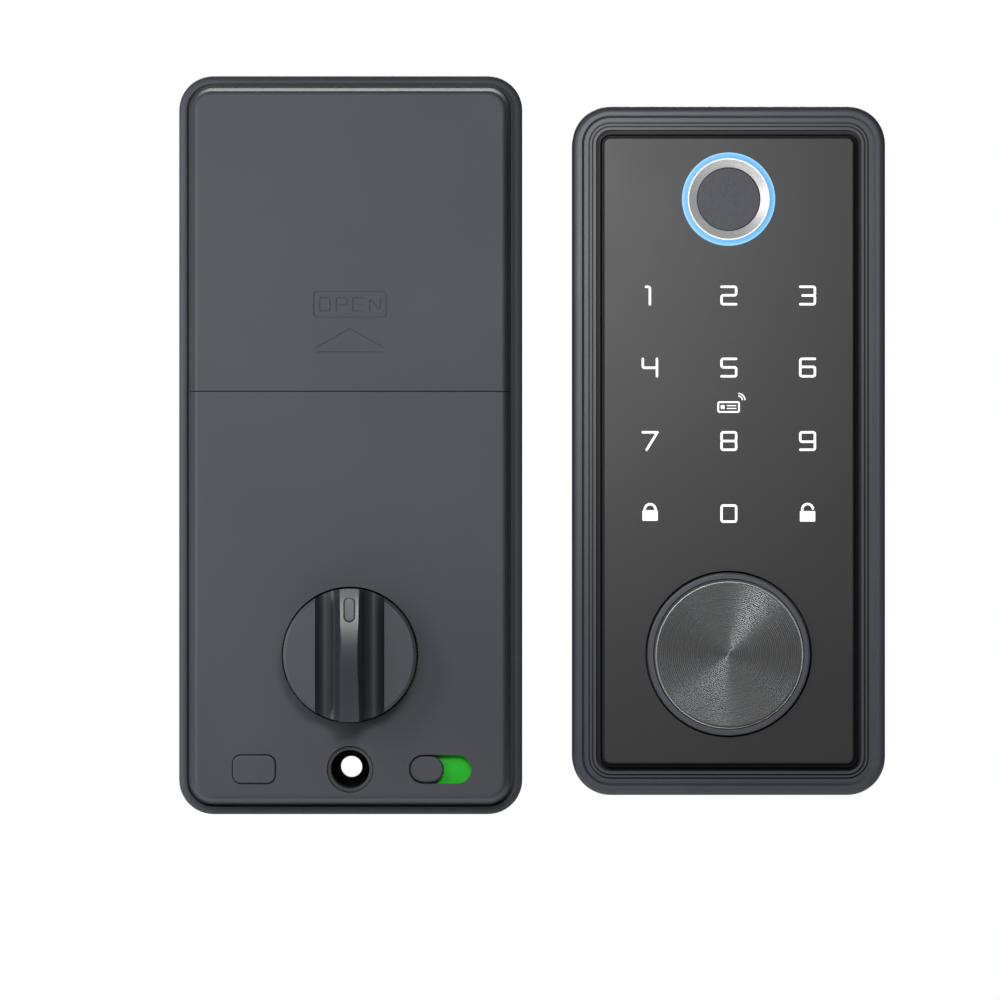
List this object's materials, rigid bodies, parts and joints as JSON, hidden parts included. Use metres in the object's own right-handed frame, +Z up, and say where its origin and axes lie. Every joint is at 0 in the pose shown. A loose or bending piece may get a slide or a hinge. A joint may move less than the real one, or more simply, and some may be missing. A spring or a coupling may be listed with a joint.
{
  "type": "keypad smart lock",
  "caption": "Keypad smart lock with fingerprint reader and covered keyhole outside, and thumbturn, setting button, slide switch and sliding battery cover inside.",
  "frame": {"origin": "key and spindle axis of the outside unit, on the plane where both units meet the door", "axes": "+Z up, +Y into the door from the outside unit's front, -Y towards a person facing the keypad; the inside unit stands beside it at X = -82.3 mm with its own face also towards -Y"},
  "size_m": [0.1536, 0.103, 0.1608],
  "materials": {
    "frame_enamel": "satin powder coat, dark blue grey",
    "panel_acrylic": "hard coated acrylic, printed dark grey behind",
    "legend_ink": "white ink, lit from behind",
    "light_ring": "blue lit light pipe",
    "bezel_metal": "satin chrome chamfer",
    "sensor_cover": "coated sensor",
    "cap_enamel": "satin powder coat",
    "cap_disc_metal": "dark anodised, turned in fine rings",
    "inside_enamel": "fine matt coat, blue grey",
    "control_enamel": "satin coat, blue grey",
    "marker_ink": "inlay",
    "label_green": "green label",
    "brass": "machined",
    "steel": "zinc plated",
    "motor_can": "drawn steel can",
    "magnet_nickel": "nickel plated",
    "copper": "enamelled copper",
    "circuit_board": "solder mask",
    "light_guide_plastic": "milky diffuser",
    "gear_plastic": "acetal",
    "black_plastic": "moulded",
    "socket_plastic": "moulded",
    "rubber": "moulded",
    "battery_jacket": "printed film"
  },
  "bodies": {
    "lock_frames": {"outside_housing": "frame_enamel", "touch_panel": "panel_acrylic", "keypad_legends": "legend_ink", "outside_screws": "steel", "fingerprint_light_ring": "light_ring", "fingerprint_bezel": "bezel_metal", "fingerprint_sensor": "sensor_cover", "fingerprint_board": "circuit_board", "touch_board": "circuit_board", "keypad_light_guide": "light_guide_plastic", "card_reader_coil": "copper", "outside_board": "circuit_board", "outside_back_plate": "steel", "outside_gasket": "rubber", "mounting_posts": "steel", "cable_grommet": "rubber", "cylinder_body": "brass", "driver_pins": "steel", "pin_springs": "steel", "housing_magnets": "magnet_nickel", "inside_base": "inside_enamel", "inside_cover": "inside_enamel", "inside_mounting_plate": "steel", "inside_screws": "steel", "battery_tray": "black_plastic", "batteries": "battery_jacket", "battery_springs": "steel", "battery_contact_plates": "steel", "spindle_bush": "brass", "gear_axles": "steel", "gear_back_plate": "steel", "gear_front_plate": "steel", "motor": "motor_can", "main_board": "circuit_board", "buzzer": "black_plastic", "cable_socket": "socket_plastic", "tact_switch": "black_plastic", "slide_switch": "black_plastic", "privacy_label": "label_green"},
    "battery_cover": {"battery_cover": "inside_enamel"},
    "thumbturn": {"thumbturn": "control_enamel", "thumbturn_marker": "marker_ink", "thumbturn_spindle": "steel", "spindle_clip": "steel", "clutch_plate": "steel", "clutch_spring": "steel"},
    "set_button": {"set_button": "control_enamel"},
    "privacy_slider": {"privacy_slider": "control_enamel"},
    "keyhole_cap": {"keyhole_cap_rim": "cap_enamel", "keyhole_cap_disc": "cap_disc_metal", "cap_magnets": "magnet_nickel"},
    "key_plug": {"key_plug": "brass", "key_pins": "brass", "tailpiece": "steel", "plug_retainer": "steel"},
    "drive_gear": {"drive_gear": "steel"},
    "second_gear": {"second_compound_gear": "gear_plastic"},
    "first_gear": {"first_compound_gear": "gear_plastic"},
    "motor_rotor": {"motor_pinion": "steel", "motor_shaft": "steel"}
  },
  "joints": [
    {"name": "battery_cover_slide", "type": "slide", "parent": "lock_frames", "child": "battery_cover", "axis": [0, 0, 1], "range_m": [0, 0.066]},
    {"name": "thumbturn_turn", "type": "hinge", "parent": "lock_frames", "child": "thumbturn", "pos_m": [-0.0823, -0.03, 0], "axis": [0, 1, 0], "range_deg": [-90, 90]},
    {"name": "set_button_press", "type": "slide", "parent": "lock_frames", "child": "set_button", "axis": [0, 1, 0], "range_m": [0, 0.0008], "stiffness_N_per_m": 300, "springref_m": -0.0008},
    {"name": "privacy_slide", "type": "slide", "parent": "lock_frames", "child": "privacy_slider", "axis": [1, 0, 0], "range_m": [0, 0.0058]},
    {"name": "keyhole_cap_pull", "type": "slide", "parent": "lock_frames", "child": "keyhole_cap", "axis": [0, -1, 0], "range_m": [0, 0.025]},
    {"name": "key_plug_turn", "type": "hinge", "parent": "lock_frames", "child": "key_plug", "pos_m": [0, 0, 0], "axis": [0, 1, 0], "range_deg": [-90, 90]},
    {"name": "drive_gear_spin", "type": "hinge", "parent": "lock_frames", "child": "drive_gear", "pos_m": [-0.0823, -0.0092, 0], "axis": [0, 1, 0], "continuous": true},
    {"name": "second_gear_spin", "type": "hinge", "parent": "lock_frames", "child": "second_gear", "pos_m": [-0.0733, -0.011, 0.012], "axis": [0, 1, 0], "continuous": true},
    {"name": "first_gear_spin", "type": "hinge", "parent": "lock_frames", "child": "first_gear", "pos_m": [-0.0808, -0.013, 0.022], "axis": [0, 1, 0], "continuous": true},
    {"name": "motor_spin", "type": "hinge", "parent": "lock_frames", "child": "motor_rotor", "pos_m": [-0.0733, -0.014, 0.032], "axis": [0, 1, 0], "continuous": true}
  ],
  "couplings": [
    {"joint": "second_gear_spin", "follows": "drive_gear_spin", "ratio": -4},
    {"joint": "first_gear_spin", "follows": "drive_gear_spin", "ratio": 16},
    {"joint": "motor_spin", "follows": "drive_gear_spin", "ratio": -64}
  ]
}
